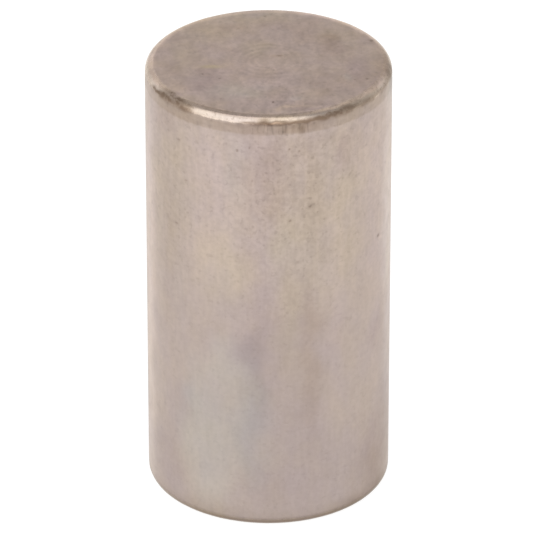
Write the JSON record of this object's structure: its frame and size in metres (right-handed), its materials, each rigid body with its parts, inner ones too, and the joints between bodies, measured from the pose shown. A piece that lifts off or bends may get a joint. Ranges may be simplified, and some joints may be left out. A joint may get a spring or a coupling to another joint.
{
  "type": "crank pin",
  "caption": "Plain solid steel crank pin, a short ground cylinder with rounded rims and a slight lead-in at each end.",
  "frame": {"origin": "centre of the lower end face, on the pin's axis", "axes": "+Z along the pin's axis, from the lower end face to the upper one; X and Y are any two directions across it"},
  "size_m": [0.022, 0.022, 0.0415],
  "materials": {
    "ground_steel": "hardened and ground, satin"
  },
  "bodies": {
    "root": {"crank_pin": "ground_steel"}
  },
  "joints": []
}
